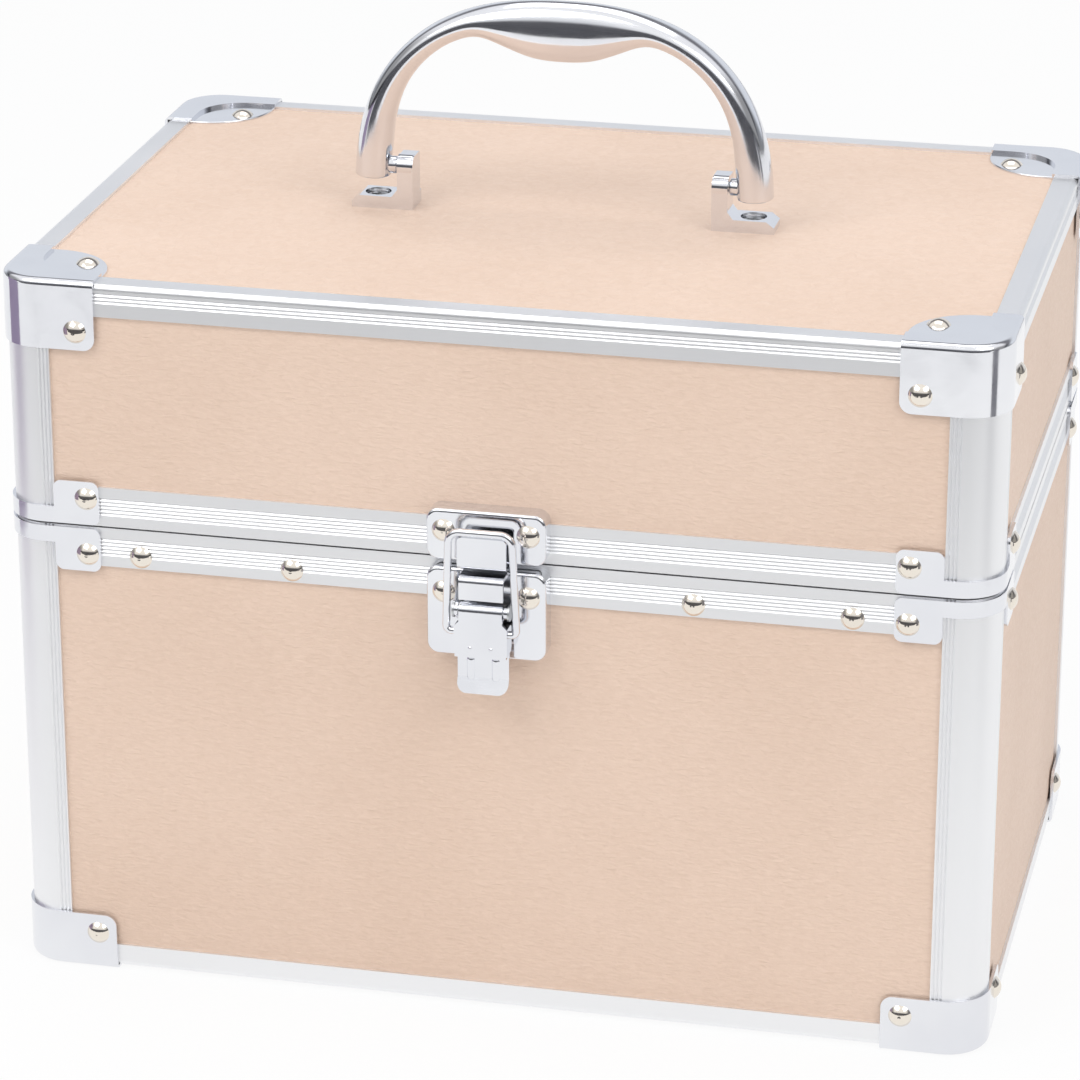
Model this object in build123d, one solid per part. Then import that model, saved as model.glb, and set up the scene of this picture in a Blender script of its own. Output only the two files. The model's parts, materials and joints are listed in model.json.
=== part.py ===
from build123d import *
from math import cos, hypot, radians, sin
import os

# Hard-sided makeup case: boards covered in leatherette, framed by aluminium posts and rails,
# with metal corner caps, a draw latch, a fold-down handle, a hinged lid and two swinging trays.
# Millimetres. +X right, +Y back, +Z up. Z = 0 is the plane that the case stands on.

# ---------------------------------------------------------------- driving dimensions
case_width = 247.0          # over the aluminium frame
case_depth = 166.0
base_height = 120.5
lid_height = 62.6
seam_gap = 0.4

frame_wall = 0.8            # wall of every aluminium extrusion
board_thickness = 4.0
skin_thickness = 0.5
lining_thickness = 0.6

post_face = 13.0            # visible width of a corner post
post_core = 8.1             # square core that the boards stop at
post_radius = 10.0
base_rim_height = 10.2      # rails next to the seam
lid_rim_height = 10.2
bottom_rail_height = 6.0
top_rail_height = 8.2
top_flange = 6.3            # flat strip of the top and bottom rails
top_edge_radius = 1.5
groove_pitch = 0.95
groove_depth = 0.3
rim_grooves = 5
top_rail_grooves = 3
post_grooves = 3

cap_thickness = 0.8
cap_reach = 25.0            # from the frame's corner, along each edge
top_cap_height = 16.9       # down the wall from the frame's top
bottom_cap_height = 14.2
cap_tab_radius = 16.0
cap_step_radius = 12.0
cap_step_start = 6.8
cap_edge_radius = 1.6
cap_corner_radius = 3.0
seam_cap_reach = 24.6
seam_tab_height = 11.3
seam_strap_height = 4.2
seam_cap_setback = 0.3
cap_gap = 0.1               # between a cap's tab and the flange beside it
tab_edge_radius = 0.3
seam_corner_radius = 2.0

rivet_head_diameter = 5.8
rivet_head_height = 1.5
rivet_shank_diameter = 3.0
rivet_grip = 3.6            # shank length behind the cap's outer face
cap_rivet_from_edge = 20.1
top_cap_rivet_drop = 12.2
bottom_cap_rivet_rise = 9.2
top_face_rivet = (18.5, 15.9)
seam_rivet_from_edge = 21.3
seam_rivet_offset = 7.1

latch_width = 29.8
latch_plate_reach = 4.8     # front of both pressed plates, from the frame's face
latch_plate_sheet = 1.0
latch_plate_setback = 0.7   # from the edge of its rim
keeper_height = 13.2
latch_plate_height = 22.9
latch_plate_corner = 3.0
plate_edge_radius = 0.9
latch_rivet_spread = 21.0
keeper_rivet_height = 8.4   # above the lid's rim
hook_width = 12.2
hook_sheet = 1.0
hook_reach = 9.4            # outer face of the hook, from the frame's face
hook_setback = 0.1          # above the lid's rim
hook_height = 8.6
hook_corner_radius = 1.2
hook_bend_radius = 2.0
bridge_width = 11.0         # folded guard over the lever's roll
bridge_sheet = 1.0
bridge_reach = 10.3
bridge_drop = 6.6           # its lower edge, below the base's rim
bridge_bend_radius = 1.6
lever_width = 13.2
lever_sheet = 0.8
lever_pin_diameter = 2.0
lever_pin_head = 4.0
lever_pin_head_thickness = 0.5
lever_pin_reach = 9.0
lever_pin_drop = 9.6        # below the base's rim
lever_roll_width = 10.8
lever_roll_radius = 2.0
lever_shoulder_top = 2.6    # below the pin, where the plate starts to widen
lever_shoulder_low = 3.8
lever_plate_length = 10.8
lever_cheek_back = 5.9
lever_cheek_radius = 1.5
lever_dimple_spread = 5.2
lever_dimple_rise = 1.6
lever_dimple_radius = 0.6
lever_dimple_height = 0.25
thumb_tab_length = 7.2      # straight part, below the lever's plate
thumb_tab_width = 12.8
thumb_tab_reach = 7.9
thumb_tip_length = 3.6
thumb_tip_reach = 1.9       # the tip leans out this far
thumb_tip_radius = 2.5
thumb_rib_spread = 6.2
thumb_rib_radius = 1.2
thumb_rib_height = 0.5
thumb_rib_length = 4.5
ear_gap = 0.3
ear_thickness = 0.9
ear_radius = 1.7
bail_wire = 1.9
bail_width = 19.4
bail_top_width = 17.6
bail_pivot_drop = 5.4       # below the lever's pin
bail_pivot_reach = 9.6
bail_bar_rise = 20.6        # above the lever's pin
bail_corner_radius = 3.0
bail_end_radius = 1.3
bail_clearance = 0.3
running_clearance = 0.05

handle_half_span = 54.0     # to the outer face of a leg
handle_rise = 56.5          # above the top panel
handle_spring_height = 5.0  # where the handle's outer curve turns vertical
handle_depth = 10.0
handle_leg = 9.2
handle_curve_power = 2.38
handle_fullness = 0.6       # of its oval section: 0.55 is an ellipse, 1 a rectangle
handle_pivot_height = 11.3
handle_leg_below_pivot = 3.1
handle_from_front = 80.0
handle_pin_diameter = 2.5
handle_pin_setback = 1.0
handle_hub_diameter = 4.4
handle_gap = 0.3
bracket_foot_thickness = 3.4
bracket_front = 2.6         # front of the bracket, ahead of the pivot
bracket_foot_back = 6.3
bracket_post_back = 5.2
bracket_inner_inset = 15.4  # its post's inner face, in from the handle's outer face
bracket_overhang = 0.6      # its foot's end, out from the handle's outer face
bracket_post_width = 4.1
bracket_barrel_radius = 2.9
bracket_barrel_inset = 0.3
bracket_end_chamfer = (1.5, 2.0)    # down and along, at the foot's outer end
bracket_gusset = (1.9, 1.5)         # up and along, where the foot meets the post
bracket_edge = 0.5
screw_inset = 5.3           # in from the handle's outer face
screw_behind_pivot = 1.9
screw_diameter = 3.4
screw_head_diameter = 5.8
screw_head_height = 1.2
screw_head_edge = 0.5
screw_slot = (0.9, 3.4)     # width and length of the cross in its head
screw_slot_depth = 0.6
screw_bore_diameter = 6.6
screw_sink = 2.0            # depth of the bore that takes the head
screw_end_gap = 0.5         # the screw stops this far short of the board's inner face

hinge_width = 30.0
hinge_leaf_height = 10.0
hinge_sheet = 1.2
hinge_corner_radius = 2.0
hinge_pin_diameter = 2.0
hinge_barrel_radius = 2.2
hinge_knuckles = 5
hinge_neck_reach = 2.5      # the knuckles' necks run this far past the rims
hinge_gap = 0.4
hinge_rivet_spread = 18.0
hinge_rivet_reach = 6.2     # from the rims

tray_top_above_pivot = 7.3
tray_height = 26.0
tray_wall = 1.8
tray_outer_side_gap = 1.6   # to the lining
tray_middle_gap = 7.5       # from the case's middle plane
tray_divider = 1.4
tray_long_bay_share = 0.42  # of the tray's width
tray_corner_radius = 6.0
arm_length = 31.0
arm_angle = 35.0            # below level, at rest
arm_half_width = 3.4
arm_sheet = 1.0
arm_pivot_from_side = 34.7
arm_pivot_spacing = 38.7
arm_clearance = 0.9         # arm to the rail beside it
arm_to_tray = 1.4
pivot_head_radius = 2.6
pivot_head_height = 0.6

mirror_size = (190.0, 120.0)
mirror_thickness = 2.0
mirror_corner_radius = 6.0

# ---------------------------------------------------------------- derived places
half_width = case_width / 2
half_depth = case_depth / 2
left = -half_width
front = -half_depth

board_face = frame_wall + skin_thickness
board_back = board_face + board_thickness
rail_back = board_back + frame_wall

base_bottom = cap_thickness
base_top = base_bottom + base_height
lid_bottom = base_top + seam_gap
lid_top = lid_bottom + lid_height
seam = (base_top + lid_bottom) / 2
floor_low = base_bottom + board_face
floor_top = floor_low + board_thickness
roof_top = lid_top - board_face
roof_low = roof_top - board_thickness
panel_top = lid_top - frame_wall

rim_rivet_height = base_top - seam_rivet_offset
lid_rivet_height = lid_bottom + seam_rivet_offset

arm_pivot_outer = half_width - arm_pivot_from_side
arm_pivot_inner = arm_pivot_outer - arm_pivot_spacing
hinge_from_middle = (arm_pivot_outer + arm_pivot_inner) / 2     # between the rivets of the tray arms
hinge_axis_reach = hinge_barrel_radius + hinge_gap
back_reach = hinge_axis_reach + hinge_barrel_radius

lever_pin_height = base_top - lever_pin_drop
lever_face = lever_pin_reach + lever_roll_radius
bail_reach = hook_reach + bail_clearance + bail_wire
front_reach = max(lever_face, bail_reach, thumb_tab_reach + thumb_tip_reach)

bracket_inner = handle_half_span - bracket_inner_inset
bracket_outer = handle_half_span + bracket_overhang
screw_x = handle_half_span - screw_inset
pivot_height = panel_top + handle_pivot_height
pivot_from_middle = front + handle_from_front
shift = (front_reach - back_reach) / 2

rivet_radius = rivet_head_diameter / 2
shank_radius = rivet_shank_diameter / 2


# ---------------------------------------------------------------- helpers
def block(x, y, z):
    """A box from its low and high limits along each axis."""
    size = Box(x[1] - x[0], y[1] - y[0], z[1] - z[0])
    return Pos((x[0] + x[1]) / 2, (y[0] + y[1]) / 2, (z[0] + z[1]) / 2) * size


def rect(u, v):
    """A flat rectangle from its low and high limits."""
    return Pos((u[0] + u[1]) / 2, (v[0] + v[1]) / 2) * Rectangle(u[1] - u[0], v[1] - v[0])


def rod(start, end, radius):
    """A round bar from one point to another."""
    line = Line(start, end)
    section = Plane(origin=start, z_dir=line.tangent_at(0)) * Circle(radius)
    return extrude(section, amount=line.length)


def both_sides(solids):
    return solids + [mirror(s, Plane.YZ) for s in solids]


def front_and_back(solids):
    return solids + [mirror(s, Plane.XZ) for s in solids]


def four_corners(solids):
    return front_and_back(both_sides(solids))


def at_corner(part):
    """Moves a part drawn from the frame's corner, at the origin, to the front left corner."""
    return Pos(left, front, 0) * part


def edges_near(part, axis, u, v, tolerance=0.05):
    """Edges along an axis whose middle has the given other two coordinates (None is any)."""
    found = []
    for edge in part.edges().filter_by(axis):
        middle = edge.center()
        places = {Axis.X: (middle.Y, middle.Z), Axis.Y: (middle.X, middle.Z), Axis.Z: (middle.X, middle.Y)}
        place = places[axis]
        if all(want is None or abs(want - have) < tolerance for want, have in zip((u, v), place)):
            found.append(edge)
    return found


def cut(part, tools):
    """A part less every tool that reaches it."""
    box = part.bounding_box()
    near = []
    for tool in tools:
        reach = tool.bounding_box()
        low = (reach.min.X < box.max.X, reach.min.Y < box.max.Y, reach.min.Z <= box.max.Z)
        high = (reach.max.X > box.min.X, reach.max.Y > box.min.Y, reach.max.Z >= box.min.Z)
        if all(low) and all(high):
            near.append(tool)
    return part - near if near else part


nodes = {}


def node(name, solids):
    """Keeps a sub-part, and moves it so that the whole case is centred on the origin."""
    if not isinstance(solids, list):
        solids = [solids]
    loose = []
    for solid in solids:
        loose += list((Pos(0, shift, 0) * solid).solids())
    nodes[name] = loose


# ---------------------------------------------------------------- rivets
def rivet(head_radius=rivet_radius, grip=rivet_grip):
    """A domed rivet that stands on Z = 0, with its shank going down."""
    ball = (head_radius**2 + rivet_head_height**2) / (2 * rivet_head_height)
    dome = Pos(0, 0, rivet_head_height - ball) * Sphere(ball)
    half = 2 * head_radius
    dome = dome & block((-half, half), (-half, half), (0, half))
    return dome + rod((0, 0, -grip), (0, 0, 0), shank_radius)


def on_front(x, reach, z):
    """Place on the front, facing out, reach in front of the frame's face."""
    return Pos(x, front - reach, z) * Rot(90, 0, 0)


def on_left(y, reach, z):
    return Pos(left - reach, y, z) * Rot(0, -90, 0)


def shank_hole(place, grip):
    return place * rod((0, 0, -grip), (0, 0, 1), shank_radius)


def corner_places(z, from_edge):
    """Rivet places of one corner: on the front and on the left side."""
    return [on_front(left + from_edge, cap_thickness, z), on_left(front + from_edge, cap_thickness, z)]


base_corner_places = corner_places(base_bottom + bottom_cap_rivet_rise, cap_rivet_from_edge)
base_corner_places += corner_places(rim_rivet_height, seam_rivet_from_edge)
lid_corner_places = corner_places(lid_top - top_cap_rivet_drop, cap_rivet_from_edge)
lid_corner_places += corner_places(lid_rivet_height, seam_rivet_from_edge)
roof_place = Pos(left + top_face_rivet[0], front + top_face_rivet[1], lid_top)
lid_corner_places.append(roof_place)

base_holes = four_corners([shank_hole(p, rivet_grip) for p in base_corner_places])
lid_holes = four_corners([shank_hole(p, rivet_grip) for p in lid_corner_places])


def latch_places(z):
    return [on_front(side * latch_rivet_spread / 2, latch_plate_reach, z) for side in (-1, 1)]


keeper_places = latch_places(lid_bottom + keeper_rivet_height)
latch_plate_places = latch_places(rim_rivet_height)
latch_grip = rivet_grip + latch_plate_reach - cap_thickness
keeper_holes = [shank_hole(p, latch_grip) for p in keeper_places]
latch_holes = [shank_hole(p, latch_grip) for p in latch_plate_places]


def hinge_places(z):
    """Rivet places of the back hinges, facing back."""
    places = []
    for middle in (-hinge_from_middle, hinge_from_middle):
        for side in (-1, 1):
            x = middle + side * hinge_rivet_spread / 2
            places.append(Pos(x, half_depth + hinge_sheet, z) * Rot(-90, 0, 0))
    return places


hinge_grip = rivet_grip + hinge_sheet - cap_thickness
base_hinge_places = hinge_places(base_top - hinge_rivet_reach)
lid_hinge_places = hinge_places(lid_bottom + hinge_rivet_reach)
base_hinge_holes = [shank_hole(p, hinge_grip) for p in base_hinge_places]
lid_hinge_holes = [shank_hole(p, hinge_grip) for p in lid_hinge_places]

arm_low = rail_back + arm_clearance                     # depth of the arms from the frame's face
arm_high = arm_low + arm_sheet
tray_end = arm_high + arm_to_tray


def pivot_rivet(x):
    """Rivet of a tray arm: a domed head outside, a shank through the wall, a flat head inside."""
    place = Pos(x, front, rim_rivet_height) * Rot(90, 0, 0)
    shank = rod((0, 0, -arm_high - running_clearance - pivot_head_height), (0, 0, 0), shank_radius)
    top = -arm_high - running_clearance
    head = rod((0, 0, top - pivot_head_height), (0, 0, top), pivot_head_radius)
    return place * (rivet(grip=frame_wall) + shank + head)


pivot_xs = [-arm_pivot_outer, -arm_pivot_inner]
pivot_rivets = four_corners([pivot_rivet(x) for x in pivot_xs])
pivot_holes = four_corners(
    [rod((x, front - 1, rim_rivet_height), (x, front + rail_back + 1, rim_rivet_height), shank_radius)
     for x in pivot_xs])


# ---------------------------------------------------------------- boards, skins and lining
def front_slab(z, near, far):
    """A wall slab on the front, between the cores of its two posts."""
    reach = half_width - post_core
    return block((-reach, reach), (front + near, front + far), z)


def side_slab(z, near, far):
    reach = half_depth - post_core
    return block((left + near, left + far), (-reach, reach), z)


def footprint(z, inset):
    """A slab as large as the case, less inset, with a notch for each corner post."""
    slab = block((left + inset, -left - inset), (front + inset, -front - inset), z)
    notch = at_corner(block((-1, post_face), (-1, post_face), z))
    return cut(slab, four_corners([notch]))


base_wall = (floor_top, base_top - frame_wall)
lid_wall = (lid_bottom + frame_wall, roof_low)
screw_y = pivot_from_middle + screw_behind_pivot
screw_places = [Pos(side * screw_x, screw_y, panel_top + bracket_foot_thickness) for side in (-1, 1)]
screw_length = bracket_foot_thickness + skin_thickness + board_thickness - screw_end_gap
screw_holes = [p * rod((0, 0, -screw_length), (0, 0, 1), screw_diameter / 2) for p in screw_places]


def make_boards():
    base_front = front_slab(base_wall, board_face, board_back)
    base_front = cut(base_front, base_holes + pivot_holes + latch_holes)
    node("base_front_board", base_front)
    base_back = mirror(front_slab(base_wall, board_face, board_back), Plane.XZ)
    node("base_back_board", cut(base_back, base_holes + pivot_holes + base_hinge_holes))
    base_side = cut(side_slab(base_wall, board_face, board_back), base_holes)
    node("base_left_board", base_side)
    node("base_right_board", mirror(base_side, Plane.YZ))
    node("base_bottom_board", footprint((floor_low, floor_top), frame_wall))
    lid_front = front_slab(lid_wall, board_face, board_back)
    node("lid_front_board", cut(lid_front, lid_holes + keeper_holes))
    lid_back = mirror(lid_front, Plane.XZ)
    node("lid_back_board", cut(lid_back, lid_holes + lid_hinge_holes))
    lid_side = cut(side_slab(lid_wall, board_face, board_back), lid_holes)
    node("lid_left_board", lid_side)
    node("lid_right_board", mirror(lid_side, Plane.YZ))
    lid_roof = footprint((roof_low, roof_top), frame_wall)
    node("lid_top_board", cut(lid_roof, lid_holes + screw_holes))


def make_skins():
    base_front = front_slab(base_wall, frame_wall, board_face)
    node("base_front_skin", cut(base_front, base_holes + pivot_holes + latch_holes))
    base_back = mirror(base_front, Plane.XZ)
    node("base_back_skin", cut(base_back, base_holes + pivot_holes + base_hinge_holes))
    base_side = cut(side_slab(base_wall, frame_wall, board_face), base_holes)
    node("base_side_skins", both_sides([base_side]))
    node("base_bottom_skin", footprint((floor_low - skin_thickness, floor_low), frame_wall))
    lid_front = front_slab(lid_wall, frame_wall, board_face)
    node("lid_front_skin", cut(lid_front, lid_holes + keeper_holes))
    lid_back = mirror(lid_front, Plane.XZ)
    node("lid_back_skin", cut(lid_back, lid_holes + lid_hinge_holes))
    lid_side = cut(side_slab(lid_wall, frame_wall, board_face), lid_holes)
    node("lid_side_skins", both_sides([lid_side]))
    lid_roof = footprint((roof_top, panel_top), frame_wall)
    node("lid_top_skin", cut(lid_roof, lid_holes + screw_holes))


def lining(z, open_end, closed_end):
    """Thin liner of a wall height z, open towards the seam."""
    inset = board_back
    outside = block((left + inset, -left - inset), (front + inset, -front - inset), z)
    inset = board_back + lining_thickness
    hollow_z = (min(open_end, closed_end), max(open_end, closed_end))
    hollow = block((left + inset, -left - inset), (front + inset, -front - inset), hollow_z)
    corner = at_corner(block((0, post_face), (0, post_face), z))
    return cut(outside - hollow, four_corners([corner]))


def make_linings():
    base_end = base_top - base_rim_height
    node("base_lining", lining((floor_top, base_end), base_end + 1, floor_top + lining_thickness))
    lid_end = lid_bottom + lid_rim_height
    node("lid_lining", lining((lid_end, roof_low), lid_end - 1, roof_low - lining_thickness))
    mirror_top = roof_low - lining_thickness
    plate = block((-mirror_size[0] / 2, mirror_size[0] / 2), (-mirror_size[1] / 2, mirror_size[1] / 2),
                  (mirror_top - mirror_thickness, mirror_top))
    node("lid_mirror", fillet(plate.edges().filter_by(Axis.Z), mirror_corner_radius))


# ---------------------------------------------------------------- aluminium frame
def grooves(middle, count, first_axis):
    """Fine V grooves in a section's outer face, side by side about a middle line."""
    cuts = []
    for i in range(count):
        at = middle + (i - (count - 1) / 2) * groove_pitch
        near, far = at - groove_pitch * 0.4, at + groove_pitch * 0.4
        if first_axis:
            points = [(near, 0), (far, 0), (at, groove_depth)]
        else:
            points = [(0, near), (0, far), (groove_depth, at)]
        cuts.append(make_face(Polyline(*points, close=True)))
    return cuts


def post_section():
    outline = rect((0, post_face), (0, post_face))
    outline = fillet(outline.vertices().sort_by_distance((0, 0, 0))[:1], post_radius)
    hollow = rect((frame_wall, post_core - frame_wall), (frame_wall, post_core - frame_wall))
    hollow = hollow & Pos(post_radius, post_radius) * Circle(post_radius - frame_wall)
    end = post_face + 1
    parts = [hollow]
    parts.append(rect((post_core, end), (frame_wall, board_back)))
    parts.append(rect((frame_wall, board_back), (post_core, end)))
    parts.append(rect((post_core, end), (rail_back, end)))
    parts.append(rect((rail_back, end), (post_core, end)))
    groove_middle = post_face - (post_grooves / 2 + 0.3) * groove_pitch
    parts += grooves(groove_middle, post_grooves, True)
    parts += grooves(groove_middle, post_grooves, False)
    return cut(outline, parts)


def posts(z):
    section = post_section()
    post = Pos(0, 0, z[0]) * extrude(section, amount=z[1] - z[0])
    return at_corner(post)


def rail_set(section):
    """A rail along each side, between the posts, from a section drawn inwards and upwards."""
    long_rail = extrude(Plane.YZ * section, amount=half_width - post_face, both=True)
    short_rail = extrude(Plane.YZ * section, amount=half_depth - post_face, both=True)
    front_rail = Pos(0, front, 0) * long_rail
    left_rail = Rot(0, 0, -90) * (Pos(0, left, 0) * short_rail)
    return front_and_back([front_rail]) + both_sides([left_rail])


def rim_section(closed, opened):
    """Channel that grips a wall's edge. Its web is at the closed end, next to the seam."""
    low, high = min(closed, opened), max(closed, opened)
    web = (closed - frame_wall, closed) if closed > opened else (closed, closed + frame_wall)
    section = rect((0, frame_wall), (low, high)) + rect((0, rail_back), web)
    section += rect((board_back, rail_back), (low, high))
    return cut(section, grooves((low + high) / 2, rim_grooves, False))


def edge_section(closed, opened, groove_count):
    """Angle that covers the case's outer edge, with a rounded corner."""
    low, high = min(closed, opened), max(closed, opened)
    web = (closed - frame_wall, closed) if closed > opened else (closed, closed + frame_wall)
    section = rect((0, frame_wall), (low, high)) + rect((0, top_flange), web)
    corner = section.vertices().sort_by_distance((0, closed, 0))[:1]
    section = fillet(corner, top_edge_radius)
    middle = closed + (opened - closed) * 0.42
    return cut(section, grooves(middle, groove_count, False))


def make_frame():
    tools = base_holes + pivot_holes + latch_holes + base_hinge_holes
    node("base_corner_posts", four_corners([posts((base_bottom, base_top))]))
    rails = rail_set(rim_section(base_top, base_top - base_rim_height))
    node("base_rim_rails", [cut(r, tools) for r in rails])
    node("base_bottom_rails", [cut(r, base_holes) for r in
                               rail_set(edge_section(base_bottom, base_bottom + bottom_rail_height, 0))])
    tools = lid_holes + keeper_holes + lid_hinge_holes
    node("lid_corner_posts", four_corners([posts((lid_bottom, lid_top))]))
    rails = rail_set(rim_section(lid_bottom, lid_bottom + lid_rim_height))
    node("lid_rim_rails", [cut(r, tools) for r in rails])
    rails = rail_set(edge_section(lid_top, lid_top - top_rail_height, top_rail_grooves))
    node("lid_top_rails", rails)


# ---------------------------------------------------------------- corner caps
def corner_shell(reach, z, edge_radius=0):
    """Wall of sheet metal wrapped round the frame's corner, plus a plate at z[0]."""
    t = cap_thickness
    outside = block((-t, reach), (-t, reach), z)
    outside = fillet(edges_near(outside, Axis.Z, -t, -t), post_radius + t)
    if edge_radius:
        rim = [e for e in outside.edges() if abs(e.center().Z - z[0]) < 0.01]
        rim = [e for e in rim if e.center().X < reach - 1 and e.center().Y < reach - 1]
        outside = fillet([e for e in rim if min(e.center().X, e.center().Y) < post_radius / 2], edge_radius)
    inside = block((0, reach + 1), (0, reach + 1), (z[0] + t, z[1] + 1))
    inside = fillet(edges_near(inside, Axis.Z, 0, 0), post_radius)
    return outside - inside


def outer_cap(height):
    """Cap of an outer corner, with its plate on Z = 0 and its walls going up."""
    t = cap_thickness
    shell = corner_shell(cap_reach, (0, height + t), cap_edge_radius)
    wide = cap_reach + 1
    window = block((cap_step_start, wide), (cap_step_start, wide), (-1, t))
    window = fillet(edges_near(window, Axis.Z, cap_step_start, cap_step_start), cap_step_radius)
    shell = shell - window
    top = height + t
    for axis in (Axis.Y, Axis.X):
        shell = fillet(edges_near(shell, axis, cap_reach, top), cap_corner_radius)
    start = top_flange + cap_gap
    tab = block((start, cap_reach), (start, cap_reach), (t, 2 * t))
    tab = fillet(edges_near(tab, Axis.Z, cap_reach, cap_reach), cap_tab_radius)
    core = post_core + cap_gap
    tab = tab - block((0, core), (0, core), (0, 3 * t))
    outer = [e for e in tab.edges().group_by(Axis.Z)[0] if e.center().X + e.center().Y > cap_reach]
    tab = fillet(outer, tab_edge_radius)
    return shell + tab


def seam_cap(sign):
    """Cap at the seam: a strap round the post and a tab along each rail. Grows up for sign 1."""
    t = cap_thickness
    top = seam_tab_height + seam_cap_setback
    low = seam_cap_setback
    shell = corner_shell(seam_cap_reach, (low - t, top))
    wide = seam_cap_reach + 1
    shell = shell - block((-wide, wide), (-wide, wide), (low - t - 1, low))
    shell = shell - block((-wide, post_face), (-wide, post_face), (low + seam_strap_height, top + 1))
    for axis in (Axis.Y, Axis.X):
        ends = edges_near(shell, axis, seam_cap_reach, top) + edges_near(shell, axis, post_face, top)
        ends += edges_near(shell, axis, seam_cap_reach, low)
        shell = fillet(ends, seam_corner_radius)
    if sign < 0:
        shell = mirror(shell, Plane.XY)
    return shell


def make_caps():
    bottom = at_corner(outer_cap(bottom_cap_height))
    node("base_bottom_corner_caps", [cut(c, base_holes) for c in four_corners([bottom])])
    top = mirror(outer_cap(top_cap_height), Plane.XY)
    top = Pos(0, 0, lid_top + cap_thickness) * at_corner(top)
    node("lid_top_corner_caps", [cut(c, lid_holes) for c in four_corners([top])])
    base_seam = Pos(0, 0, base_top) * at_corner(seam_cap(-1))
    node("base_rim_corner_caps", [cut(c, base_holes) for c in four_corners([base_seam])])
    lid_seam = Pos(0, 0, lid_bottom) * at_corner(seam_cap(1))
    node("lid_rim_corner_caps", [cut(c, lid_holes) for c in four_corners([lid_seam])])
    node("base_corner_rivets", four_corners([p * rivet() for p in base_corner_places]))
    node("lid_corner_rivets", four_corners([p * rivet() for p in lid_corner_places]))


# ---------------------------------------------------------------- latch
def latch_section(points):
    """Sheet-metal section from points given as reach in front of the frame's face, and height."""
    return make_face(Polyline(*[(front - w, z) for w, z in points], close=True))


def pressed_plate(z, rail):
    """A pressed pan with walls back to the leatherette, notched where the rail runs behind it."""
    half, face = latch_width / 2, front - latch_plate_reach
    pan = block((-half, half), (face, front + frame_wall), z)
    pan = fillet(pan.edges().filter_by(Axis.Y), latch_plate_corner)
    pan = fillet(pan.faces().sort_by(Axis.Y)[0].edges(), plate_edge_radius)
    sheet = latch_plate_sheet
    hollow = block((sheet - half, half - sheet), (face + sheet, front + 1), (z[0] + sheet, z[1] - sheet))
    hollow = fillet(hollow.edges().filter_by(Axis.Y), latch_plate_corner - sheet)
    return pan - hollow - block((-half, half), (front, front + 1), rail)


def across(section, width):
    """Extrudes a latch section along X."""
    return extrude(Plane.YZ * section, amount=width / 2, both=True)


def along_x(start, end, reach, z, radius):
    """A round bar along X, reach in front of the frame's face."""
    return rod((start, front - reach, z), (end, front - reach, z), radius)


def folded(edge, far, near, low, sheet, bend_radius):
    """Sheet that stands out from a plate at height edge, near to far, and then runs to height low."""
    inward = sheet if low > edge else -sheet
    points = [(near, edge), (far, edge), (far, low), (far - sheet, low), (far - sheet, edge + inward),
              (near, edge + inward)]
    return latch_section(points), (front - far, edge), bend_radius


def make_hook():
    edge = lid_bottom + hook_setback
    top = edge + hook_height
    near = latch_plate_reach - latch_plate_sheet
    section, bend, radius = folded(edge, hook_reach, near, top, hook_sheet, hook_bend_radius)
    hook = across(section, hook_width)
    hook = fillet(edges_near(hook, Axis.X, *bend), radius)
    hook = fillet(edges_near(hook, Axis.Y, -hook_width / 2, top), hook_corner_radius)
    hook = fillet(edges_near(hook, Axis.Y, hook_width / 2, top), hook_corner_radius)
    return hook


def make_keeper():
    low = lid_bottom + latch_plate_setback
    plate = pressed_plate((low, low + keeper_height), (lid_bottom, lid_bottom + lid_rim_height))
    node("latch_keeper", cut(plate + make_hook(), keeper_holes))
    node("latch_keeper_rivets", [p * rivet(grip=latch_grip) for p in keeper_places])


def make_bridge(high):
    near = latch_plate_reach - latch_plate_sheet
    section, bend, radius = folded(high, bridge_reach, near, base_top - bridge_drop, bridge_sheet,
                                   bridge_bend_radius)
    bridge = across(section, bridge_width)
    return fillet(edges_near(bridge, Axis.X, *bend), radius)


def make_latch_base():
    high = base_top - latch_plate_setback
    plate = pressed_plate((high - latch_plate_height, high), (base_top - base_rim_height, base_top))
    inner = lever_roll_width / 2 + ear_gap
    outer = inner + ear_thickness
    ear = along_x(inner, outer, lever_pin_reach, lever_pin_height, ear_radius)
    ear += block((inner, outer), (front - lever_pin_reach, front - latch_plate_reach + latch_plate_sheet),
                 (lever_pin_height - ear_radius, lever_pin_height + ear_radius))
    plate = plate + make_bridge(high) + ear + mirror(ear, Plane.YZ)
    pin = along_x(-outer, outer, lever_pin_reach, lever_pin_height, lever_pin_diameter / 2)
    head_end = outer + lever_pin_head_thickness
    head = along_x(outer, head_end, lever_pin_reach, lever_pin_height, lever_pin_head / 2)
    node("latch_base_plate", cut(plate, [pin] + latch_holes))
    node("latch_base_rivets", [p * rivet(grip=latch_grip) for p in latch_plate_places])
    node("latch_lever_pin", pin + head + mirror(head, Plane.YZ))


bail_pivot_height = lever_pin_height - bail_pivot_drop
bail_radius = bail_wire / 2


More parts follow.
